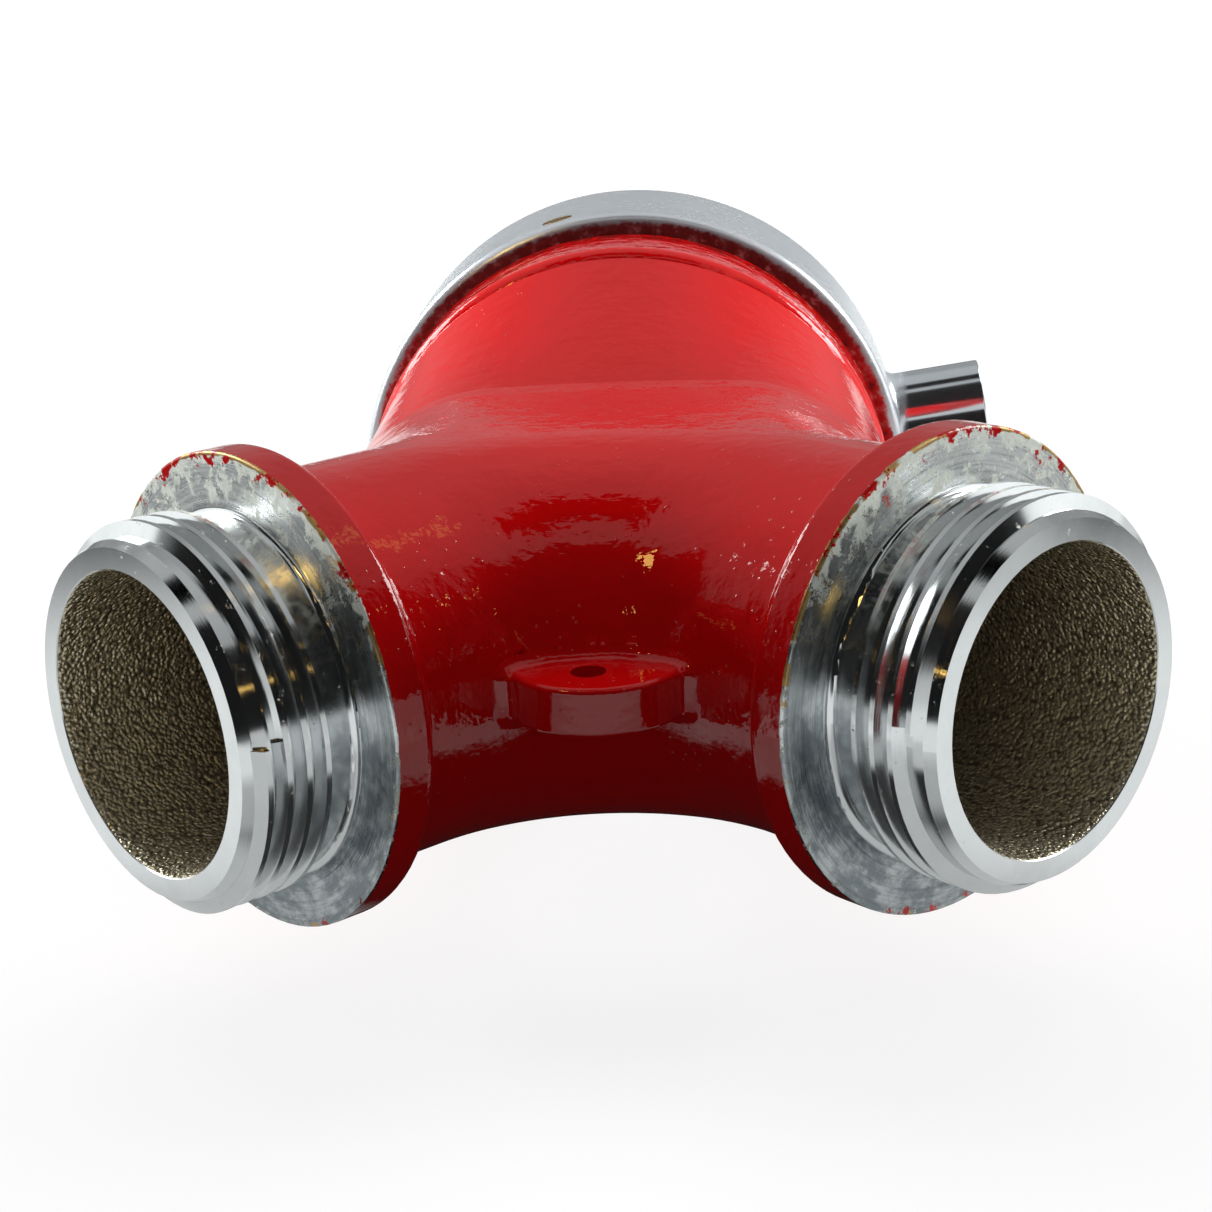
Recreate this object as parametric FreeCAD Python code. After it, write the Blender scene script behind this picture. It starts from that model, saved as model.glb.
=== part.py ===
# Plain hose wye: a cast brass body with a female swivel inlet and two male outlets.
# The outlets spread by equal angles from the inlet axis, in one level plane.
# Millimetres. The inlet axis is Y, the swivel mouth looks along +Y, and Z is up.
# The shapes are drawn about the point where the three axes meet. They are moved at the end,
# so that the origin is on the inlet axis, where the end of a hose coupling meets the gasket.
import FreeCAD, Part
import math
import os

V = FreeCAD.Vector
CENTRE = V(0, 0, 0)
UP = V(0, 0, 1)
INLET_AXIS = V(0, 1, 0)

# Outlets: their angle from the inlet axis, and how far out they reach
outlet_angle = 45.0
outlet_reach = 64.0
water_radius = 19.85
pipe_wall = 6.95
crotch_hollow = 17.2
side_hollow = 8.0

# Outlet flange and nose
flange_height = 4.8
flange_thickness = 6.2
flange_front_round = 0.4
nose_length = 16.3
nose_taper_length = 1.5
nose_taper_depth = 0.7
nose_root_round = 1.0
bore_mouth_chamfer = 0.15

# Outlet thread, 9 to the inch, with a blunt start at the nose
thread_radius = 25.27
thread_depth = 1.82
thread_pitch = 2.822
thread_start = 14.0
thread_start_rise = 5.0
thread_turns = 3.6
thread_crest = 0.75
thread_base = 2.3
thread_sink = 0.25

# Chamber between the pipes and the collar
chamber_half_flat = 17.0
chamber_wall = 8.0
chamber_front = 6.0
shoulder_drop = 0.6
shoulder_corner_angle = 55.0
crease_length = 3.0
crease_rise = 0.04

# Collar and tailpiece
collar_front = 37.0
collar_length = 16.5
collar_drop = 2.9
collar_edge_round = 2.5
inlet_radius = 31.75
neck_step = 0.44
tail_chamfer = 0.5

# Chain lug in the crotch
lug_radius = 11.4
lug_setback = 0.7
lug_thickness = 6.5
lug_edge_round = 0.8
lug_root_round = 2.0
lug_hole_radius = 2.3
lug_hole_setback = 5.0
lug_hole_side = -0.9

# Swivel ring. Its thread is drawn plain at the root radius
inlet_thread_radius = 39.16
inlet_thread_length = 15.4
inlet_thread_lead = 1.0
ring_wall = 5.84
ring_front_gap = 1.9
ring_front_round = 2.0
ring_mouth_round = 2.5
swivel_clearance = 0.3

# Pin lugs of the ring
pin_radius = 6.35
pin_length = 15.2
pin_setback = 8.0
pin_angle = 7.6
pin_edge_round = 0.3
pin_root_round = 1.5

# Ball race
ball_radius = 2.38
ball_clearance = 0.04
ball_spacing = 1.06
race_setback = 4.9
race_to_tail_end = 4.7
loading_hole_clearance = 0.22
plug_gap = 0.05
plug_angle = 104.0
plug_slot_width = 0.8
plug_slot_depth = 0.7

# Gasket
gasket_thickness = 4.8
gasket_hold = 1.15
gasket_width = 7.81
gasket_edge_round = 0.4
gasket_gap = 0.2

# Radii worked out from the sizes above
pipe_radius = water_radius + pipe_wall
crotch_bend_radius = pipe_radius + crotch_hollow
side_bend_radius = pipe_radius + side_hollow
thread_root_radius = thread_radius - thread_depth
flange_radius = pipe_radius + flange_height
flange_root_round = 0.6 * flange_height
flange_edge_round = 0.33 * flange_height
ring_radius = inlet_thread_radius + ring_wall
collar_radius = ring_radius - collar_drop
shoulder_radius = collar_radius - shoulder_drop
neck_radius = inlet_thread_radius + neck_step
race_radius = neck_radius + swivel_clearance / 2
groove_radius = ball_radius + ball_clearance
loading_hole_radius = ball_radius + loading_hole_clearance
gasket_radius = inlet_thread_radius + gasket_hold
gasket_hole_radius = gasket_radius - gasket_width

# Places along the inlet axis
collar_back = collar_front + collar_length
shoulder_back = collar_front + shoulder_drop + collar_edge_round / 2
ring_front = collar_back + ring_front_gap
race_place = ring_front + race_setback
tail_end = race_place + race_to_tail_end
recess_front = tail_end + gasket_gap
seal_plane = recess_front + gasket_thickness
ring_mouth = seal_plane + inlet_thread_length
pin_place = ring_mouth - pin_setback

# Places along each outlet axis
flange_back = outlet_reach - flange_thickness
pipe_end = flange_back - 2 * flange_root_round
outlet_end = outlet_reach + nose_length


def unit(vector):
    """The same direction with length one."""
    return vector * (1.0 / vector.Length)


def line(start, end):
    return Part.LineSegment(start, end).toShape()


def arc(start, middle, end):
    return Part.Arc(start, middle, end).toShape()


def rounded_wire(corners):
    """Closed wire through (x, y, round) points. A round of 0 leaves the corner sharp."""
    count = len(corners)
    points = [V(x, y, 0) for x, y, size in corners]
    rounds = []
    stretches = []
    for i in range(count):
        size = corners[i][2]
        if size == 0:
            stretches.append((points[i], points[i]))
            continue
        back = unit(points[i - 1] - points[i])
        ahead = unit(points[(i + 1) % count] - points[i])
        half = back.getAngle(ahead) / 2
        setback = size / math.tan(half)
        start = points[i] + back * setback
        end = points[i] + ahead * setback
        middle = points[i] + unit(back + ahead) * (size / math.sin(half) - size)
        rounds.append(arc(start, middle, end))
        stretches.append((start, end))
    lines = []
    for i in range(count):
        start = stretches[i][1]
        end = stretches[(i + 1) % count][0]
        if not start.isEqual(end, 1e-6):
            lines.append(line(start, end))
    return Part.Wire(Part.__sortEdges__(rounds + lines))


def turned(corners):
    """Solid turned about the Y axis from (radius, station, round) points."""
    return Part.Face(rounded_wire(corners)).revolve(CENTRE, INLET_AXIS, 360)


def outlet_direction(side):
    """Unit direction of the left (side -1) or right (side 1) outlet."""
    angle = math.radians(outlet_angle)
    return V(side * math.sin(angle), -math.cos(angle), 0)


def aimed(shape, side):
    """Copy of a shape built along +Y, turned to the left or right outlet."""
    copy = shape.copy()
    copy.rotate(CENTRE, UP, 180 + side * outlet_angle)
    return copy


def thread_ridge(root_radius, crest_radius, pitch, turns, crest, base, end_station):
    """Right hand thread along +Y. It ends square at end_station, on the +X side."""
    root = root_radius - thread_sink
    length = pitch * turns
    helix = Part.makeLongHelix(pitch, length, root_radius, 0, False)
    corners = [V(root, 0, -base / 2), V(crest_radius, 0, -crest / 2)]
    corners += [V(crest_radius, 0, crest / 2), V(root, 0, base / 2)]
    profile = Part.makePolygon(corners + [corners[0]])
    ridge = Part.Wire(helix.Edges).makePipeShell([profile], True, True)
    ridge.rotate(CENTRE, UP, -360 * turns)
    ridge.rotate(CENTRE, V(1, 0, 0), -90)
    ridge.translate(V(0, end_station - length, 0))
    return ridge


def bend_circle():
    """Centre and middle point of the crotch bend, and its distance out along each axis."""
    angle = math.radians(outlet_angle)
    centre = V(0, -crotch_bend_radius / math.sin(angle), 0)
    return centre, centre + V(0, crotch_bend_radius, 0), crotch_bend_radius / math.tan(angle)


def half_disc(centre, outward, radius):
    """Upright half disc that bulges towards outward."""
    top = centre + UP * radius
    bottom = centre - UP * radius
    return Part.Face(Part.Wire([arc(top, centre + outward * radius, bottom), line(bottom, top)]))


def half_bar(start, end, outward, radius):
    """Half round bar between two points of the level plane."""
    return half_disc(start, outward, radius).extrude(end - start)


def section(station, share, half_flat, half_height, end_radius):
    """Chamber section: flat topped at share 0, a circle of end_radius at share 1."""
    angle = math.radians(shoulder_corner_angle)
    corner_x = half_flat + share * (end_radius * math.cos(angle) - half_flat)
    corner_z = half_height + share * (end_radius * math.sin(angle) - half_height)
    side = half_flat + half_height
    side_x = side + share * (end_radius - side)
    top_z = half_height + share * (end_radius - half_height)
    left_top = V(-corner_x, station, corner_z)
    right_top = V(corner_x, station, corner_z)
    left_low = V(-corner_x, station, -corner_z)
    right_low = V(corner_x, station, -corner_z)
    right = arc(right_top, V(side_x, station, 0), right_low)
    left = arc(left_low, V(-side_x, station, 0), left_top)
    if share == 0:
        return Part.Wire([line(left_top, right_top), right, line(right_low, left_low), left])
    top = arc(left_top, V(0, station, top_z), right_top)
    low = arc(right_low, V(0, station, -top_z), left_low)
    return Part.Wire([top, right, low, left])


def shoulder(half_flat, half_height, end_radius):
    """The widening part of the chamber, from the flat section to the round one."""
    sections = [section(chamber_front, 0, half_flat, half_height, end_radius)]
    crease_end = chamber_front + crease_length
    sections.append(section(crease_end, crease_rise, half_flat, half_height, end_radius))
    sections.append(section(shoulder_back, 1, half_flat, half_height, end_radius))
    return Part.makeLoft(sections, True, True)


def side_bend(half_flat, side):
    """Bend from the chamber's side into an outlet: centre, start, middle and end."""
    angle = math.radians(outlet_angle)
    along = outlet_direction(side)
    corner = V(side * half_flat, -half_flat / math.tan(angle), 0)
    reach = side_bend_radius * math.tan(angle / 2)
    start = corner + INLET_AXIS * reach
    end = corner + along * reach
    centre = start + V(side * side_bend_radius, 0, 0)
    middle = centre + unit(corner - centre) * side_bend_radius
    return centre, start, middle, end


def flat_between(radius, half_flat):
    """Level sided block inside the line that the pipes and the chamber are rounded about."""
    centre, middle, reach = bend_circle()
    edges = [arc(outlet_direction(-1) * reach, middle, outlet_direction(1) * reach)]
    edges.append(line(V(-half_flat, chamber_front, 0), V(half_flat, chamber_front, 0)))
    for side in (-1, 1):
        centre, start, middle, end = side_bend(half_flat, side)
        edges.append(line(V(side * half_flat, chamber_front, 0), start))
        edges.append(arc(start, middle, end))
        edges.append(line(end, outlet_direction(side) * reach))
    block = Part.Face(Part.Wire(Part.__sortEdges__(edges))).extrude(UP * (2 * radius))
    block.translate(UP * -radius)
    return block


def manifold(radius, half_flat, end_radius, tube_end):
    """Two pipes that bend into each other at the crotch, and the chamber behind them."""
    crotch, middle, reach = bend_circle()
    pieces = []
    for side in (-1, 1):
        along = outlet_direction(side)
        tangent = along * reach
        inward = unit(crotch - tangent)
        centre, start, middle, end = side_bend(half_flat, side)
        front = V(side * half_flat, chamber_front, 0)
        outward = V(side, 0, 0)
        pieces.append(half_bar(tangent, along * tube_end, inward, radius))
        pieces.append(half_bar(end, along * tube_end, inward * -1, radius))
        pieces.append(half_disc(start, outward, radius).revolve(centre, UP, side * outlet_angle))
        pieces.append(half_bar(start, front, outward, radius))
    left = outlet_direction(-1) * reach
    bend = half_disc(left, unit(crotch - left), radius)
    pieces.append(bend.revolve(crotch, UP, 2 * outlet_angle - 180))
    pieces.append(shoulder(half_flat, radius, end_radius))
    return flat_between(radius, half_flat).multiFuse(pieces).removeSplitter()


def outlet_spigot():
    """Flange and threaded nose of one outlet, along +Y."""
    corners = [
        (0, pipe_end, 0),
        (pipe_radius, pipe_end, 0),
        (pipe_radius, flange_back, flange_root_round),
        (flange_radius, flange_back, flange_edge_round),
        (flange_radius, outlet_reach, flange_front_round),
        (thread_root_radius, outlet_reach, nose_root_round),
        (thread_root_radius, outlet_end - nose_taper_length, 0),
        (thread_root_radius - nose_taper_depth, outlet_end, 0),
        (0, outlet_end, 0),
    ]
    return turned(corners)


def outlet_thread(side):
    """Male hose thread of one outlet. Its blunt start faces the crotch, a little above level."""
    ridge = thread_ridge(
        thread_root_radius, thread_radius, thread_pitch, thread_turns,
        thread_crest, thread_base, outlet_reach + thread_start)
    ridge.rotate(CENTRE, INLET_AXIS, 90 - side * (90 + thread_start_rise))
    return aimed(ridge, side)


def outlet_bore():
    """Straight water way through one nose, with its mouth eased, along +Y."""
    mouth = water_radius + bore_mouth_chamfer
    corners = [
        (0, pipe_end, 0),
        (water_radius, pipe_end, 0),
        (water_radius, outlet_end - bore_mouth_chamfer, 0),
        (mouth, outlet_end, 0),
        (mouth, outlet_end + 1, 0),
        (0, outlet_end + 1, 0),
    ]
    return turned(corners)


def collar_and_tail():
    """Painted collar, and the tailpiece that the swivel turns on."""
    corners = [
        (0, collar_front, 0),
        (collar_radius, collar_front, collar_edge_round),
        (collar_radius, collar_back, collar_edge_round / 2),
        (neck_radius, collar_back, 0),
        (neck_radius, tail_end, tail_chamfer),
        (0, tail_end, 0),
    ]
    return turned(corners)


def race_groove():
    """Ring that the balls run in, cut from the tailpiece and from the swivel alike."""
    return Part.makeTorus(race_radius, groove_radius, V(0, race_place, 0), INLET_AXIS)


def crotch_wall(height):
    """Distance from the bend's upright axis to the outside of the crotch, at a height."""
    return crotch_bend_radius - math.sqrt(pipe_radius ** 2 - height ** 2)


def chain_lug():
    """Round nosed lug that stands out of the crotch."""
    foot = V(0, crotch_wall(0) - lug_setback, -lug_thickness / 2)
    disc = Part.makeCylinder(lug_radius, lug_thickness, bend_circle()[0] + foot, UP)
    return disc.makeFillet(lug_edge_round, [edge for edge in disc.Edges if edge.isClosed()])


def round_lug_root(body):
    """Rounds the lug into the crotch, all the way round it."""
    centre = bend_circle()[0]
    root = []
    for edge in body.Edges:
        on_wall = True
        for i in range(5):
            spot = edge.valueAt(edge.FirstParameter + (edge.LastParameter - edge.FirstParameter) * i / 4)
            height = min(abs(spot.z), lug_thickness / 2)
            reach = math.hypot(spot.x - centre.x, spot.y - centre.y)
            lies_there = abs(spot.z) < height + 0.01 and abs(reach - crotch_wall(height)) < 0.02
            on_wall = on_wall and lies_there
        if on_wall:
            root.append(edge)
    return body.makeFillet(lug_root_round, root)


def chain_hole():
    wall = bend_circle()[0] + V(0, crotch_wall(0), 0)
    start = wall + V(lug_hole_side, -lug_hole_setback, -lug_thickness)
    return Part.makeCylinder(lug_hole_radius, 2 * lug_thickness, start, UP)


def wye_body():
    body = manifold(pipe_radius, chamber_half_flat, shoulder_radius, pipe_end)
    body = round_lug_root(body.fuse(chain_lug()))
    body = body.fuse(collar_and_tail())
    for side in (-1, 1):
        body = body.fuse(aimed(outlet_spigot(), side))
        body = body.fuse(outlet_thread(side))
    inner_flat = chamber_half_flat + pipe_radius - chamber_wall - water_radius
    hollow = manifold(water_radius, inner_flat, inlet_radius, pipe_end)
    inlet = Part.makeCylinder(inlet_radius, tail_end - shoulder_back + 1, V(0, shoulder_back, 0), INLET_AXIS)
    body = body.cut(hollow.fuse(inlet))
    for side in (-1, 1):
        body = body.cut(aimed(outlet_bore(), side))
    return body.cut(race_groove()).cut(chain_hole())


def around(angle, radius, station):
    """Point at an angle about the inlet axis, from +X towards +Z."""
    turn = math.radians(angle)
    return V(radius * math.cos(turn), station, radius * math.sin(turn))


def pin_lug(angle):
    """Round pin that a spanner turns the swivel by."""
    start = around(angle, ring_radius - ring_mouth_round, pin_place)
    end = around(angle, ring_radius + pin_length, pin_place)
    pin = Part.makeCylinder(pin_radius, (end - start).Length, start, end - start)
    rim = [edge for edge in pin.Edges if edge.isClosed() and edge.CenterOfMass.isEqual(end, 0.1)]
    return pin.makeFillet(pin_edge_round, rim)


def add_pins(ring):
    """Joins the two pin lugs to the ring, with a small round at each root."""
    angles = (pin_angle, pin_angle + 180)
    joined = ring.multiFuse([pin_lug(angle) for angle in angles]).removeSplitter()
    roots = []
    for angle in angles:
        out = around(angle, 1, 0)
        foot = V(0, pin_place, 0)
        for edge in joined.Edges:
            spots = [point - foot for point in edge.discretize(5)]
            on_pin = all(abs(spot.cross(out).Length - pin_radius) < 0.01 for spot in spots)
            near = all(0 < spot.dot(out) < ring_radius + pin_root_round / 2 for spot in spots)
            if on_pin and near:
                roots.append(edge)
    return joined.makeFillet(pin_root_round, roots)


def swivel_ring():
    """Female swivel. Its thread is drawn plain, at the root radius that clears a hose end."""
    bore = neck_radius + swivel_clearance
    recess = gasket_radius + gasket_gap
    corners = [
        (bore, ring_front, 0),
        (ring_radius, ring_front, ring_front_round),
        (ring_radius, ring_mouth, ring_mouth_round),
        (inlet_thread_radius + inlet_thread_lead, ring_mouth, 0),
        (inlet_thread_radius, ring_mouth - inlet_thread_lead, 0),
        (inlet_thread_radius, seal_plane, 0),
        (recess, seal_plane, 0),
        (recess, recess_front, 0),
        (bore, recess_front, 0),
    ]
    ring = add_pins(turned(corners))
    ring = ring.cut(race_groove())
    return ring.cut(loading_hole(loading_hole_radius, race_radius))


def loading_hole(radius, inner):
    """Round bar through the swivel wall at the loading hole, from the inner radius out."""
    start = around(plug_angle, inner, race_place)
    return Part.makeCylinder(radius, ring_radius + 1 - inner, start, start - V(0, race_place, 0))


def ball_plug():
    """Slotted screw plug, flush with the ring and clear of the balls."""
    inner = race_radius + groove_radius
    plug = loading_hole(loading_hole_radius - plug_gap, inner)
    outside = Part.makeCylinder(ring_radius, ring_mouth - ring_front, V(0, ring_front, 0), INLET_AXIS)
    plug = plug.common(outside)
    slot = Part.makeBox(2 * ring_radius, plug_slot_width, plug_slot_depth + 1)
    slot.translate(V(-ring_radius, race_place - plug_slot_width / 2, ring_radius - plug_slot_depth))
    slot.rotate(CENTRE, INLET_AXIS, 90 - plug_angle)
    return plug.cut(slot)


def swivel_balls():
    """Full ring of loose balls, as one group of separate solids."""
    count = int(2 * math.pi * race_radius / (2 * ball_radius * ball_spacing))
    balls = []
    for i in range(count):
        place = around(plug_angle + 360 * (i + 0.5) / count, race_radius, race_place)
        balls.append(Part.makeSphere(ball_radius, place))
    return Part.makeCompound(balls)


def swivel_gasket():
    corners = [
        (gasket_hole_radius, recess_front, gasket_edge_round),
        (gasket_radius, recess_front, gasket_edge_round),
        (gasket_radius, seal_plane, gasket_edge_round),
        (gasket_hole_radius, seal_plane, gasket_edge_round),
    ]
    return turned(corners)


parts = {
    "wye_body": wye_body(),
    "swivel_ring": swivel_ring(),
    "swivel_balls": swivel_balls(),
    "ball_plug": ball_plug(),
    "swivel_gasket": swivel_gasket(),
}
os.makedirs("parts", exist_ok=True)
for name, shape in parts.items():
    shape.translate(V(0, -seal_plane, 0))
    print(name, "valid", shape.isValid(), "solids", len(shape.Solids), "volume", round(shape.Volume, 1))
    shape.exportStep("parts/" + name + ".step")
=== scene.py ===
import bpy
import math
from mathutils import Matrix, Vector, noise


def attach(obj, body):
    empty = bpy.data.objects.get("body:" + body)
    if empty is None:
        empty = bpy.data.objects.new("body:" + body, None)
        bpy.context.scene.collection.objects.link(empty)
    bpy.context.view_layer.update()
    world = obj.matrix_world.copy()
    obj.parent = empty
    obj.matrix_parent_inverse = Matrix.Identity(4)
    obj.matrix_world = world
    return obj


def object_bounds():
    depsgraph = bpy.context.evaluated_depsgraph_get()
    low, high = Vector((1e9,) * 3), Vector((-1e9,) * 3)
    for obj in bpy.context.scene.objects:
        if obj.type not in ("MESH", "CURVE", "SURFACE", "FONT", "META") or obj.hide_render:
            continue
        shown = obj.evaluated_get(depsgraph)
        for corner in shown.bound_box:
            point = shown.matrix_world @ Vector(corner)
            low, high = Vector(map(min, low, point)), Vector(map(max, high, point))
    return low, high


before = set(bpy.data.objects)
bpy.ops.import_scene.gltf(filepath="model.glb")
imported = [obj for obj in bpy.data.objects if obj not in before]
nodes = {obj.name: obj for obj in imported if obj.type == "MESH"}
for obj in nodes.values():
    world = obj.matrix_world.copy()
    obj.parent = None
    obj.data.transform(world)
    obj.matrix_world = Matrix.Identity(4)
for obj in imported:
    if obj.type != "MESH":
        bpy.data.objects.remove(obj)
cad_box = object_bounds()

MM = 0.001
DIAGONAL = math.sqrt(0.5)

# Sizes of the part in millimetres. The three axes meet at y = -SEAL. The outlets' places are
# measured along their own axes from there, and those of the chamber and collar along Y.
SEAL = 70.0
OUTLET_END = 80.3
FLANGE_FACE = 64.0
MID_FLANGE = 60.0
WATER_RADIUS = 19.85
BEND_RADIUS = 44.0
BEND_CENTRE = 62.2
HALF_FLAT = 17.0
SHOULDER_START = 9.0
SHOULDER_LENGTH = 29.85
COLLAR_BACK = 53.5

# The swivel's own thread
THREAD_ROOT = 39.16
THREAD_MINOR = 36.96
THREAD_PITCH = 3.387
MOUTH = 15.4

# The photograph's camera: its place in millimetres, its angles in degrees, its lens in pixels
PHOTO_SIDE = 1212
CAMERA_PLACE = (21.74, -407.83, 101.78)
CAMERA_YAW, CAMERA_PITCH, CAMERA_ROLL = -3.98, 17.33, -2.82
CAMERA_FOCUS = 2435.74
SENSOR = 36

# The stage, in metres
FLOOR_HALF = 6.0
CARD_HALF = 1.6
CARD_LIFT = 0.0004
TENT_RADIUS = 1.6
TENT_PLACE = (0, -0.1, 0)
LAMP_TARGET = (0, -0.07, 0)

# Lit parts of the tent: turn from and to, and height from and to, in degrees as the part
# sees them, then how soft the edge is in degrees, and the strength
WINDOWS = (
    (-74, -46, 18, 35, 2.0, 9.0),
    (50, 78, 22, 37, 2.0, 10.0),
    (-84, -45, -8, 16, 2.0, 0.9),
    (56, 90, -8, 20, 2.0, 0.9),
)
WARM_LAMPS = (
    (-136, -129.5, 42, 50, 0.5, 13.0),
    (54, 62, 54.5, 57.5, 0.5, 1.4),
    (91, 92, 30.5, 31.5, 0.3, 10.0),
    (105.5, 106.5, 21.5, 22.5, 0.3, 12.0),
    (-150, -148.8, 22, 23, 0.3, 12.0),
    (121, 122, 9, 10, 0.3, 12.0),
)

DARK_BRONZE = (0.14, 0.11, 0.07)


# ---------------------------------------------------------------- node trees
class Value:
    """A number, vector, colour or shader in a node tree. Numbers are joined by plain arithmetic."""

    def __init__(self, tree, socket):
        self.tree = tree
        self.socket = socket

    def __add__(self, other):
        return self.tree.math("ADD", self, other)

    def __sub__(self, other):
        return self.tree.math("SUBTRACT", self, other)

    def __rsub__(self, other):
        return self.tree.math("SUBTRACT", other, self)

    def __mul__(self, other):
        return self.tree.math("MULTIPLY", self, other)

    __radd__ = __add__
    __rmul__ = __mul__


class Tree:
    """A short way to write one procedural material, or the world."""

    def __init__(self, name, world=None):
        self.owner = world or bpy.data.materials.new(name)
        self.owner.use_nodes = True
        self.nodes = self.owner.node_tree.nodes
        self.links = self.owner.node_tree.links
        self.nodes.clear()
        self.out = self.nodes.new("ShaderNodeOutput" + ("World" if world else "Material"))

    def put(self, socket, value):
        if isinstance(value, Value):
            self.links.new(value.socket, socket)
        elif value is not None:
            socket.default_value = value

    def add(self, kind, settings=None, **inputs):
        node = self.nodes.new("ShaderNode" + kind)
        for key, value in (settings or {}).items():
            setattr(node, key, value)
        for key, value in inputs.items():
            self.put(node.inputs[key.replace("_", " ")], value)
        return node

    def value(self, node, name=0):
        return Value(self, node.outputs[name])

    def join(self, kind, given, settings=None):
        """A node whose first inputs are given in order."""
        node = self.add(kind, settings)
        for socket, value in zip(node.inputs, given):
            self.put(socket, value)
        return self.value(node)

    def math(self, operation, first, second=None):
        return self.join("Math", (first, second), {"operation": operation})

    def absolute(self, value):
        return self.math("ABSOLUTE", value)

    def larger(self, first, second):
        return self.math("MAXIMUM", first, second)

    def smaller(self, first, second):
        return self.math("MINIMUM", first, second)

    def hypot(self, first, second):
        return self.math("SQRT", first * first + second * second)

    def step(self, value, low, high):
        """0 before low, 1 past high, and smooth between them. High may be the lesser one."""
        return self.value(self.add("MapRange", {"interpolation_type": "SMOOTHSTEP"},
                                   Value=value, From_Min=low, From_Max=high))

    def place(self):
        """Object coordinates in millimetres: x, y, z and the vector itself."""
        raw = self.value(self.add("TexCoord"), "Object")
        node = self.add("VectorMath", {"operation": "SCALE"}, Scale=1 / MM)
        self.put(node.inputs[0], raw)
        vector = self.value(node)
        parts = self.add("SeparateXYZ")
        self.put(parts.inputs[0], vector)
        return [self.value(parts, i) for i in range(3)] + [vector]

    def vector(self, x, y, z):
        return self.join("CombineXYZ", (x, y, z))

    def noise(self, vector, size, detail=2.0, roughness=0.5, distortion=0.0):
        """Smooth noise from 0 to 1 whose features are about size millimetres across."""
        return self.value(self.add("TexNoise", Vector=vector, Scale=1 / size, Detail=detail,
                                   Roughness=roughness, Distortion=distortion))

    def cells(self, vector, size, feature="F1"):
        """How far it is to the nearest of many points, which lie about size millimetres apart."""
        node = self.add("TexVoronoi", {"feature": feature}, Vector=vector, Scale=1 / size)
        return self.value(node, "Distance")

    def blend(self, share, first, second):
        """Colour mix of two colours."""
        node = self.add("Mix", {"data_type": "RGBA"})
        for index, given in ((0, share), (6, first), (7, second)):
            if isinstance(given, tuple):
                given = given + (1,)
            self.put(node.inputs[index], given)
        return self.value(node, 2)

    def bump(self, height, depth, strength=1.0, normal=None):
        """Surface relief. Height runs from 0 to 1 and depth is in millimetres."""
        return self.value(self.add("Bump", Strength=strength, Distance=depth * MM,
                                   Height=height, Normal=normal))

    def surface(self, color, roughness, metallic, relief, coat=None, specular=None):
        node = self.add("BsdfPrincipled", Base_Color=color, Roughness=roughness,
                        Metallic=metallic, Normal=relief)
        if coat is not None:
            node.inputs["Coat Weight"].default_value = 1.0
            node.inputs["Coat Roughness"].default_value = coat
            self.put(node.inputs["Coat Normal"], relief)
        if specular is not None:
            node.inputs["Specular IOR Level"].default_value = specular
        return self.value(node)

    def diffuse(self, gray):
        return self.value(self.add("BsdfDiffuse", Color=(gray, gray, gray, 1)))

    def glow(self, color, strength):
        return self.value(self.add("Emission", Color=color + (1,), Strength=strength))

    def mix(self, share, first, second):
        return self.join("MixShader", (share, first, second))

    def both(self, first, second):
        return self.join("AddShader", (first, second))

    def done(self, shader):
        self.put(self.out.inputs["Surface"], shader)
        return self.owner


# ---------------------------------------------------------------- materials
def enamel(tree, x, y, z, spot, painted_shade, swivel_band):
    """Glossy red enamel, brushed over an uneven casting, with dust set in it.

    It is painted brighter towards the collar, as painted light on the chamber and shoulder. It
    is darkened with painted shade where the shade mask says, and darker in blotches on the band
    next to the swivel.
    """
    tone = tree.noise(spot, 14, 3, 0.6)
    color = tree.blend(tone, (0.62, 0.002, 0.003), (0.72, 0.003, 0.004))
    # Painted light: the red turns brighter towards the collar, where the chamber and shoulder face
    # the lamps
    color = tree.blend(tree.step(y + SEAL, 0, 24), color, (0.78, 0.003, 0.004))
    color = tree.blend(painted_shade, color, (0.44, 0.002, 0.003))
    # The band next to the swivel turns darker in blotches
    dark_mottling = tree.noise(spot, 2.4, 4, 0.7)
    color = tree.blend(swivel_band * tree.step(dark_mottling, 0.35, 0.60), color, (0.30, 0.006, 0.006))
    dusty = tree.step(tree.noise(spot, 8.0, 2), 0.48, 0.60)
    dust = tree.step(tree.cells(spot, 1.5), 0.16, 0.06) * dusty
    color = tree.blend(dust * 0.35, color, (0.66, 0.12, 0.09))

    peel = tree.noise(spot, 5.5, 3, 0.55) * 0.75 + tree.noise(spot, 1.8, 2) * 0.10
    sags = tree.noise(tree.vector(x, y, z * 0.4), 2.4, 2)
    strokes = tree.noise(tree.vector(x * 0.22, y, z), 1.7, 3, 0.6)
    relief = tree.bump(peel, 0.32, 0.8)
    relief = tree.bump(sags, 0.10, 0.8, relief)
    relief = tree.bump(strokes, 0.07, 0.8, relief)
    relief = tree.bump(dust, 0.06, 0.9, relief)
    return tree.surface(color, 0.45, 0.0, relief, coat=0.02, specular=0.0)


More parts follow.
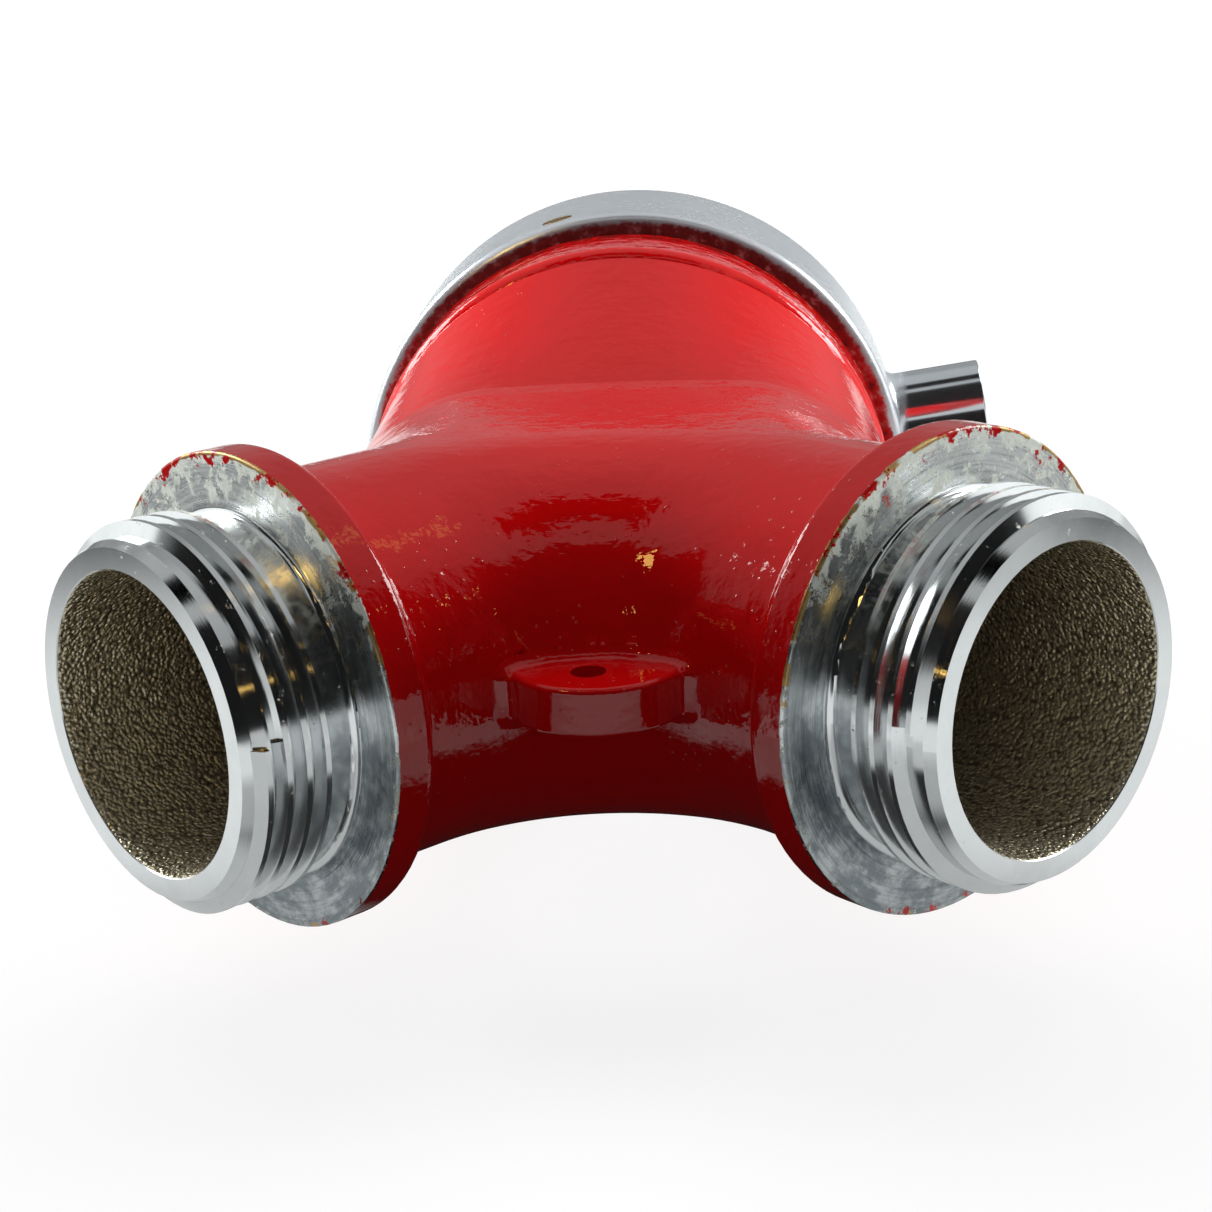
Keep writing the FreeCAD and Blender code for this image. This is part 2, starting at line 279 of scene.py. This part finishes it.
def plating(tree, spot, lines, height):
    """Bright plating over turned brass, duller below. The tool marks run across lines."""
    marks = tree.noise(tree.vector(lines, 0.0, 0.0), 0.22, 3, 0.7)
    cloud = tree.noise(spot, 6, 4, 0.65)
    low = tree.step(height, 2, -12)
    wear = tree.step(tree.noise(spot, 1.1, 4, 0.7), 0.66, 0.74)
    color = tree.blend(cloud, (0.66, 0.68, 0.69), (0.84, 0.85, 0.86))
    color = tree.blend(wear * 0.7, color, (0.70, 0.67, 0.55))
    rough = 0.06 + cloud * 0.09 + wear * 0.30 + low * 0.08
    metallic = 1.0 - wear * 0.45 - low * 0.16
    relief = tree.bump(marks, 0.014, 0.8, tree.bump(wear, 0.05, 0.5))
    return tree.surface(color, rough, metallic, relief)


def tarnish(tree, spot, across, z, radius):
    """A turned flange face: rings and streaks in dull plating, and a pale crust on it.

    The crust lies mostly near the rim and the top.
    """
    # Turns count as if 13 mm from the axis, so that the streaks are long around the face
    around = [tree.math("DIVIDE", part, radius) * 13 for part in (across, z)]
    turned = tree.vector(around[0], around[1], radius)
    marks = tree.noise(tree.vector(radius, 0.0, 0.0), 0.28, 3, 0.75)
    rings = tree.step(tree.noise(tree.vector(radius, 0.0, 7.0), 0.50, 2, 0.8), 0.44, 0.62)
    streaks = tree.noise(turned, 1.7, 5, 0.68)
    cloud = tree.noise(spot, 7.0, 3, 0.6)
    # Painted light: the metal is paler and duller towards the top, where the face is lit
    top = tree.step(z, -4, 16)
    dull = tree.step(streaks * 0.6 + cloud * 0.4, 0.42, 0.60)
    color = tree.blend(dull, (0.24, 0.27, 0.29), (0.56, 0.59, 0.60))
    color = tree.blend(top, color, (0.90, 0.92, 0.92))
    color = tree.blend(rings * 0.35, color, (0.16, 0.17, 0.18))
    relief = tree.bump(marks, 0.045, 1.0, tree.bump(streaks, 0.04, 0.8))
    metal = tree.surface(color, 0.10 + dull * 0.07 + top * 0.14, 1.0, relief)

    blotch = tree.noise(spot, 3.2, 7, 0.78, 0.3)
    amount = tree.step(z, 8, 20) * 0.15 + tree.step(radius, 29.2, 31.4) * 0.12 + blotch
    crust = tree.step(amount, 0.655, 0.70)
    stain = tree.noise(spot, 1.1, 5, 0.75)
    pale = tree.blend(stain, (0.50, 0.56, 0.49), (0.95, 0.97, 0.90))
    pale = tree.blend(tree.step(stain, 0.62, 0.68), pale, (0.32, 0.22, 0.10))
    chalk = tree.surface(pale, 0.50, 0.15, tree.bump(stain, 0.14, 1.0))
    return tree.mix(crust, metal, chalk)


def brass(tree, spot):
    tone = tree.noise(spot, 2.0, 3)
    color = tree.blend(tone, (0.42, 0.25, 0.09), (0.72, 0.50, 0.22))
    return tree.surface(color, 0.30 + tone * 0.2, 1.0, tree.bump(tone, 0.05, 0.5))


def rough_casting(tree, x, y, z, spot):
    """The rough cast inside of the water ways: close, glossy pimples of bare bronze.

    It has painted shade deep inside, and painted glints on the tops of its grain, most along the
    bottom.
    """
    along = (tree.absolute(x) - y - SEAL) * DIAGONAL
    painted_shade = tree.step(along, 76, 50)
    pimples = tree.cells(spot, 0.52, "SMOOTH_F1")
    grain = tree.noise(spot, 0.40, 3, 0.6)
    tone = tree.noise(spot, 6.0, 3, 0.6)
    glints_below = tree.step(z, -7, -17) * (1.0 - painted_shade)
    color = tree.blend(tone, (0.60, 0.52, 0.36), (0.90, 0.83, 0.64))
    color = tree.blend(tree.step(pimples, 0.42, 0.70) * 0.75, color, DARK_BRONZE)
    # Painted shade: darker deep inside the bore
    color = tree.blend(painted_shade * 0.65, color, DARK_BRONZE)
    # Painted glints: pale tops of the grain, most of them along the bottom
    painted_glints = tree.step(grain, 0.58, 0.72) * (glints_below * 0.7 + 0.3)
    color = tree.blend(painted_glints, color, (0.95, 0.92, 0.80))
    relief = tree.bump(1.0 - pimples, 0.45, 1.0, tree.bump(grain, 0.10, 0.8))
    return tree.surface(color, 0.17 + grain * 0.10, 0.70, relief)


def body_material():
    """Enamel outside, plated noses and tailpiece, and rough cast water ways."""
    tree = Tree("body")
    x, y, z, spot = tree.place()
    side = tree.absolute(x)
    back = y + SEAL
    along = (side - back) * DIAGONAL
    across = (side + back) * DIAGONAL
    radius = tree.hypot(across, z)

    # Distance from the line that the pipes and the chamber are rounded about
    turn = tree.hypot(x, back + BEND_CENTRE)
    shoulder = (back - SHOULDER_START) * (1 / SHOULDER_LENGTH)
    share = tree.smaller(tree.larger(shoulder, 0.0), 1.0)
    outer_side = tree.smaller(across, side - (1.0 - share) * HALF_FLAT)
    past_bend = tree.step(along, BEND_RADIUS - 0.1, BEND_RADIUS + 0.1)
    crotch_side = past_bend * (0.0 - across) + (1.0 - past_bend) * (BEND_RADIUS - turn)
    plan = tree.larger(tree.larger(outer_side, crotch_side), 0.0)
    depth = tree.hypot(plan, z)

    # The water ways are whatever lies nearer to that line than a limit within the walls
    wobble = tree.noise(spot, 2.5, 4, 0.6)
    fine = tree.noise(spot, 0.8, 3, 0.6)
    on_nose = tree.step(along, MID_FLANGE - 0.1, MID_FLANGE + 0.1)
    limit = on_nose * (20.28 - fine * 0.5) + (1.0 - on_nose) * (23.0 + share * 13.6)
    before_end = tree.step(along, OUTLET_END - 0.1, OUTLET_END - 0.18)
    inside = tree.step(limit - depth, 0.0, 0.1) * before_end

    # Where the paint ends: near the flange's edge, with patches that lap over its face
    paint_end = along + wobble * 0.5 - fine * 0.25
    ends = tree.larger(tree.step(z, 12, 24), tree.step(z, -20, -28) * 0.8)
    lapped = tree.noise(spot, 4.2, 5, 0.7) + tree.step(radius, 28.5, 31.5) * 0.10 + ends * 0.10
    lapped = tree.step(lapped, 0.72, 0.74) * tree.step(radius, 27.0, 28.0)
    face = tree.step(paint_end, FLANGE_FACE - 0.28, FLANGE_FACE - 0.20) * (1.0 - lapped)
    tail = tree.step(back, COLLAR_BACK - 0.1, COLLAR_BACK)

    # Plating, tarnished on the flange faces, with bare brass along their rims
    nose_line = on_nose * along + (1.0 - on_nose) * back
    plated = plating(tree, spot, nose_line, z)
    tarnished = tarnish(tree, spot, across, z, radius)
    flange_face = tree.step(FLANGE_FACE + 0.3 - along, 0.0, 0.05) * tree.step(radius, 24.2, 24.6)
    plated = tree.mix(flange_face, plated, tarnished)
    rim = tree.step(radius + wobble * 0.9 + fine * 0.4, 31.62, 31.72)
    bare = rim * tree.step(tree.noise(spot, 5.0, 3) + tree.step(z, 2, 16) * 0.20, 0.60, 0.66)
    plated = tree.mix(bare * flange_face, plated, brass(tree, spot))

    # Enamel with painted shade on the flanges, the lug, the upper pipes and the undersides,
    # and with darker blotches and chips on the band by the swivel
    upper = tree.step(z, -6, 12)
    flange = tree.step(radius, 27.5, 29.0) * tree.step(along, 56.5, 57.5) * upper
    lug = tree.step(back, -57, -60) * tree.step(side, 20, 16)
    # Painted shade: darker enamel on the flange rims, the lug, the upper pipes and the undersides
    painted_shade = tree.larger(tree.larger(flange, lug), tree.step(along, 20, 45) * upper * 0.50)
    painted_shade = tree.larger(painted_shade, tree.step(z, 16, -6) * 0.40)
    swivel_band = tree.step(back, 47.6, 49.4)
    chipped = tree.noise(spot, 1.7, 4, 0.7) + tree.step(x, 12, 34) * 0.07
    chips = swivel_band * tree.step(chipped, 0.665, 0.69)
    painted = tree.mix(chips, enamel(tree, x, y, z, spot, painted_shade, swivel_band), brass(tree, spot))

    shader = tree.mix(tree.larger(face, tail), painted, plated)
    return tree.done(tree.mix(inside, shader, rough_casting(tree, x, y, z, spot)))


def ring_material():
    """Satin plating, bright on the pins, with dark maroon and red blotches on the end that faces
    the collar.
    """
    tree = Tree("ring_plating")
    x, y, z, spot = tree.place()
    cloud = tree.noise(spot, 18, 3, 0.6)
    marks = tree.noise(tree.vector(y, 0.0, 0.0), 0.35, 3, 0.6)
    scratches = tree.noise(tree.vector(x * 0.25, y * 2.0, z * 0.25), 1.2, 4, 0.75)
    scratches = tree.step(scratches, 0.66, 0.78)
    color = tree.blend(cloud, (0.74, 0.79, 0.84), (0.86, 0.90, 0.94))
    relief = tree.bump(marks, 0.006, 0.6, tree.bump(scratches, 0.01, 0.5))
    satin = 1.0 - tree.step(tree.absolute(x), 45.5, 47.0)
    rough = 0.13 + satin * (0.11 + cloud * 0.06) + scratches * 0.08
    plate = tree.surface(color, rough, 0.96 - satin * 0.34, relief)

    # Dark maroon, with red patches lower down, on the end that faces the collar
    end_mottle = tree.noise(spot, 1.4, 4, 0.7)
    collar_end = tree.step(y + end_mottle * 0.5, -14.15, -14.35)
    red = tree.step(z, 33, 14) * tree.step(end_mottle, 0.30, 0.45)
    end_color = tree.blend(end_mottle, (0.09, 0.008, 0.010), (0.30, 0.025, 0.025))
    end_color = tree.blend(red, end_color, (0.70, 0.008, 0.010))
    dark_mottling = tree.surface(end_color, 0.4, 0.0, tree.bump(end_mottle, 0.05, 0.7))
    return tree.done(tree.mix(collar_end, plate, dark_mottling))


def plug_material():
    tree = Tree("plug_brass")
    return tree.done(brass(tree, tree.place()[-1]))


def steel_material():
    tree = Tree("steel")
    tone = tree.noise(tree.place()[-1], 2.0, 2)
    color = tree.blend(tone, (0.52, 0.52, 0.54), (0.66, 0.66, 0.68))
    return tree.done(tree.surface(color, 0.15, 1.0, tree.bump(tone, 0.01, 0.4)))


def rubber_material():
    tree = Tree("rubber")
    grain = tree.noise(tree.place()[-1], 0.6, 3)
    color = tree.blend(grain, (0.018, 0.018, 0.018), (0.04, 0.04, 0.038))
    return tree.done(tree.surface(color, 0.62, 0.0, tree.bump(grain, 0.04, 0.6)))


def casting_material():
    tree = Tree("rough_casting")
    return tree.done(rough_casting(tree, *tree.place()))


def dress(obj, material):
    obj.data.materials.clear()
    obj.data.materials.append(material)


# ---------------------------------------------------------------- added pieces
def mesh_piece(name, points, faces, material, body):
    """A smooth piece from points in millimetres. It rides on a body."""
    mesh = bpy.data.meshes.new(name)
    mesh.from_pydata([Vector(p) * MM for p in points], [], faces)
    mesh.validate()
    mesh.polygons.foreach_set("use_smooth", [True] * len(mesh.polygons))
    mesh.update()
    obj = bpy.data.objects.new(name, mesh)
    bpy.context.scene.collection.objects.link(obj)
    dress(obj, material)
    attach(obj, body)
    return obj


def cast_grain(point):
    """Height of the casting's rough skin, from 0 to 1."""
    coarse = noise.fractal(point / 2.6, 1.0, 2.0, 2, noise_basis="PERLIN_ORIGINAL")
    fine = noise.fractal(point / 0.9, 0.9, 2.0, 3, noise_basis="PERLIN_ORIGINAL")
    return min(max(0.45 + 0.40 * coarse + 0.25 * fine, 0.0), 1.0)


def bore_skin(name, side, material):
    """The rough cast skin of one outlet bore, a thin closed sleeve just inside its wall."""
    start, end = 44.0, OUTLET_END - 0.2
    gap, relief, back_gap, fade_rows = 0.03, 0.30, 0.005, 3.0
    across_count, along_count = 280, 86
    out = Vector((side * DIAGONAL, -DIAGONAL, 0))
    level = Vector((DIAGONAL, side * DIAGONAL, 0))
    junction = Vector((0, -SEAL, 0))
    other_grain = Vector((side * 50, 0, 0))
    spokes = []
    for i in range(across_count):
        angle = 2 * math.pi * i / across_count
        spokes.append(level * math.cos(angle) + Vector((0, 0, math.sin(angle))))

    points = []
    for j in range(along_count + 1):
        share = j / along_count
        center = out * (start + (end - start) * share)
        fade = min(1.0, (1 - share) * along_count / fade_rows, share * along_count / fade_rows)
        for spoke in spokes:
            rough = cast_grain(center + spoke * WATER_RADIUS + other_grain)
            points.append(center + spoke * (WATER_RADIUS - gap - relief * rough * fade) + junction)
    wall = len(points)
    for station in (start, end):
        for spoke in spokes:
            points.append(out * station + spoke * (WATER_RADIUS - back_gap) + junction)

    faces = []
    for j in range(along_count):
        for i in range(across_count):
            k = (i + 1) % across_count
            faces.append((j * across_count + i, (j + 1) * across_count + i,
                          (j + 1) * across_count + k, j * across_count + k))
    last = along_count * across_count
    for i in range(across_count):
        k = (i + 1) % across_count
        far_i, far_k = wall + across_count + i, wall + across_count + k
        faces.append((i, k, wall + k, wall + i))
        faces.append((last + k, last + i, far_i, far_k))
        faces.append((wall + i, wall + k, far_k, far_i))
    if side > 0:
        faces = [tuple(reversed(face)) for face in faces]
    return mesh_piece(name, points, faces, material, "wye")


def inlet_thread(material):
    """Ridge of the swivel's female thread, with a blunt start at the mouth."""
    steps = 120
    first, last = 1.9, MOUTH - 1.7
    half_base, half_crest, sink = 1.45, 0.28, 0.06
    count = int((last - first) / THREAD_PITCH * steps)
    root = THREAD_ROOT + sink
    profile = [(root, -half_base), (THREAD_MINOR, -half_crest),
               (THREAD_MINOR, half_crest), (root, half_base)]
    points = []
    for i in range(count + 1):
        angle = 2 * math.pi * i / steps
        station = first + THREAD_PITCH * i / steps
        for reach, shift in profile:
            points.append((reach * math.sin(angle), station + shift, reach * math.cos(angle)))
    faces = []
    size = len(profile)
    for i in range(count):
        for j in range(size):
            k = (j + 1) % size
            faces.append((i * size + j, i * size + k, (i + 1) * size + k, (i + 1) * size + j))
    faces.append(tuple(reversed(range(size))))
    faces.append(tuple(count * size + j for j in range(size)))
    obj = mesh_piece("inlet_thread", points, faces, material, "swivel")
    edge = obj.modifiers.new("edges", "BEVEL")
    edge.width = 0.12 * MM
    edge.segments = 2
    edge.limit_method = "ANGLE"
    return obj


# ---------------------------------------------------------------- camera
def set_camera():
    """The photograph's own viewpoint, found from the two outlets and the swivel."""
    yaw, pitch, roll = (math.radians(v) for v in (CAMERA_YAW, CAMERA_PITCH, CAMERA_ROLL))
    ahead = Vector((math.sin(yaw) * math.cos(pitch), math.cos(yaw) * math.cos(pitch),
                    -math.sin(pitch)))
    right = Vector((math.cos(yaw), -math.sin(yaw), 0))
    up = right.cross(ahead)
    turned_right = math.cos(roll) * right + math.sin(roll) * up
    turned_up = math.cos(roll) * up - math.sin(roll) * right
    camera = bpy.data.objects.new("camera", bpy.data.cameras.new("camera"))
    bpy.context.scene.collection.objects.link(camera)
    turn = Matrix((turned_right, turned_up, -ahead)).transposed().to_4x4()
    turn.translation = Vector(CAMERA_PLACE) * MM
    camera.matrix_world = turn
    camera.data.sensor_width = SENSOR
    camera.data.lens = CAMERA_FOCUS / PHOTO_SIDE * SENSOR
    camera.data.clip_start = 0.01
    bpy.context.scene.camera = camera


# ---------------------------------------------------------------- light
def seen_directly(tree):
    """1 for the rays that show the background, straight or in metal or glass."""
    path = tree.add("LightPath")
    straight = tree.value(path, "Is Camera Ray")
    mirrored = tree.larger(tree.value(path, "Is Glossy Ray"),
                           tree.value(path, "Is Transmission Ray"))
    return tree.larger(straight, mirrored)


def set_world():
    """White where it is seen, and a weak cool fill where it lights."""
    world = bpy.data.worlds.new("studio")
    bpy.context.scene.world = world
    tree = Tree("studio", world)
    shown = tree.add("Background", Color=(1, 1, 1, 1), Strength=1.0)
    fill = tree.add("Background", Color=(0.95, 0.97, 1, 1), Strength=0.20)
    tree.done(tree.mix(seen_directly(tree), tree.value(fill), tree.value(shown)))


def stage_mesh(name, points, faces, place):
    mesh = bpy.data.meshes.new(name)
    mesh.from_pydata(points, [], faces)
    obj = bpy.data.objects.new(name, mesh)
    bpy.context.scene.collection.objects.link(obj)
    obj.location = place
    return obj


def square(name, half, height):
    corners = [(-half, -half, 0), (half, -half, 0), (half, half, 0), (-half, half, 0)]
    return stage_mesh(name, corners, [(0, 1, 2, 3)], (0, 0, height))


def no_lamp(obj):
    """Its glow shows where it is seen or mirrored, and isn't sampled as a lamp.

    That keeps renders quick.
    """
    obj.data.materials[0].cycles.emission_sampling = "NONE"


def only_reflected(obj):
    no_lamp(obj)
    obj.visible_camera = False
    obj.visible_diffuse = False
    obj.visible_shadow = False
    obj.visible_transmission = False


def set_floor():
    """Pale floor. It turns quite white away from the part, and keeps the part's shadow."""
    floor = square("floor", FLOOR_HALF, cad_box[0][2])
    tree = Tree("floor")
    x, y, _, _ = tree.place()
    far = tree.step(tree.hypot(x, y + 100), 250, 900)
    seen = tree.both(tree.diffuse(0.22), tree.glow((1, 1, 1), far * 0.2 + 0.8))
    dress(floor, tree.done(tree.mix(seen_directly(tree), tree.diffuse(0.20), seen)))
    no_lamp(floor)


def set_floor_card():
    """What the enamel and the plating see of the floor: a painted shadow of the part close by it,
    and lit floor beyond.
    """
    card = square("floor_card", CARD_HALF, cad_box[0][2] + CARD_LIFT)
    tree = Tree("floor_card")
    x, y, _, _ = tree.place()
    side = tree.absolute(x)
    under_noses = tree.step(side, 27, 40) * tree.step(y, -94, -104) * 0.60
    front = tree.step(y, -148, -166) * 0.48 + tree.step(y, -196, -236) * 0.38
    front = front * (1.0 - tree.step(side, 220, 420))
    beside = tree.step(side, 84, 120) * (0.92 - tree.step(side, 195, 330) * 0.86)
    beside = beside * (1.0 - tree.step(y, -140, -200) * 0.42)
    behind = tree.step(y, 60, 260) * 0.80
    near = tree.larger(tree.larger(front, beside), tree.larger(under_noses, behind))
    # Close to the part the card stays nearly black: a painted shadow
    lit = near * (1.0 - tree.step(y, -420, -800) * 0.9) + 0.008
    dress(card, tree.done(tree.glow((0.97, 1, 0.99), lit)))
    only_reflected(card)


def tent_mesh():
    """Dome around the part, from 10 degrees below its level up to the top."""
    points, faces = [], []
    rows, columns = 12, 32
    for j in range(rows + 1):
        rise = math.radians(-10 + 100 * j / rows)
        for i in range(columns):
            turn = 2 * math.pi * i / columns
            points.append((TENT_RADIUS * math.cos(rise) * math.sin(turn),
                           TENT_RADIUS * math.cos(rise) * math.cos(turn),
                           TENT_RADIUS * math.sin(rise)))
    for j in range(rows):
        for i in range(columns):
            k = (i + 1) % columns
            faces.append((j * columns + i, j * columns + k,
                          (j + 1) * columns + k, (j + 1) * columns + i))
    return stage_mesh("tent", points, faces, TENT_PLACE)


def set_tent():
    """Studio tent that only shows in reflections: pale behind, dark in front.

    It has a window at each side, a beam across its ceiling, and a few small warm lamps.
    """
    tent = tent_mesh()
    tree = Tree("tent")
    x, y, z, _ = tree.place()
    turn = tree.math("ARCTAN2", x, y) * (180 / math.pi)
    rise = tree.math("ARCTAN2", z, tree.hypot(x, y)) * (180 / math.pi)

    def panes(table):
        total = None
        for low_turn, high_turn, low_rise, high_rise, soft, strength in table:
            pane = (tree.step(turn, low_turn - soft, low_turn)
                    * tree.step(turn, high_turn + soft, high_turn)
                    * (tree.step(rise, low_rise - soft, low_rise)
                       * tree.step(rise, high_rise + soft, high_rise)) * strength)
            total = pane if total is None else total + pane
        return total

    high = tree.step(rise, 42, 50)
    strength = tree.step(rise, 0, 12) * 0.12 + high * 0.08 + 0.20
    behind = tree.step(tree.absolute(turn) - high * 30, 94, 84) * strength
    across = x * (1 / 1500)
    ahead = y * (1 / 1500)
    edge = tree.step(ahead - across * across * 0.35, -0.49, -0.45)
    beam = tree.step(ahead, -0.29, -0.25) * tree.step(ahead, 0.08, 0.04)
    beam = beam * tree.step(across, -0.38, -0.34) * tree.step(across, 0.44, 0.40)
    ceiling = tree.step(rise, 50, 56) * edge
    light = behind + 0.010
    light = light * (1.0 - ceiling) + ceiling * (1.0 - beam) * 0.46
    plain = tree.glow((0.97, 1, 0.995), light + panes(WINDOWS))
    warm = tree.glow((1.0, 0.62, 0.16), panes(WARM_LAMPS))
    dress(tent, tree.done(tree.both(plain, warm)))
    only_reflected(tent)


def lamp(name, center, width, height, strength):
    """Soft box that lights the part and doesn't show in reflections."""
    data = bpy.data.lights.new(name, "AREA")
    data.shape = "RECTANGLE"
    data.size = width
    data.size_y = height
    data.energy = strength * math.pi * width * height
    obj = bpy.data.objects.new(name, data)
    bpy.context.scene.collection.objects.link(obj)
    obj.location = center
    aim = Vector(LAMP_TARGET) - Vector(center)
    obj.rotation_euler = aim.to_track_quat("-Z", "Y").to_euler()
    obj.visible_glossy = False


# ---------------------------------------------------------------- the scene
dress(nodes["wye_body"], body_material())
dress(nodes["swivel_ring"], ring_material())
dress(nodes["ball_plug"], plug_material())
dress(nodes["swivel_balls"], steel_material())
dress(nodes["swivel_gasket"], rubber_material())

casting = casting_material()
bore_skin("bore_skin_left", -1, casting)
bore_skin("bore_skin_right", 1, casting)
inlet_thread(nodes["swivel_ring"].data.materials[0])

set_camera()
set_world()
set_floor()
set_floor_card()
set_tent()
lamp("top_box", (0.0, 0.26, 0.85), 0.9, 0.7, 2.25)
lamp("left_box", (-1.05, 0.20, 0.20), 0.6, 0.5, 17.0)
lamp("right_box", (1.05, 0.20, 0.20), 0.6, 0.5, 15.0)

bpy.context.scene.view_settings.view_transform = "Standard"
# Three lamps need no light tree, and renders are quicker without it
bpy.context.scene.cycles.use_light_tree = False
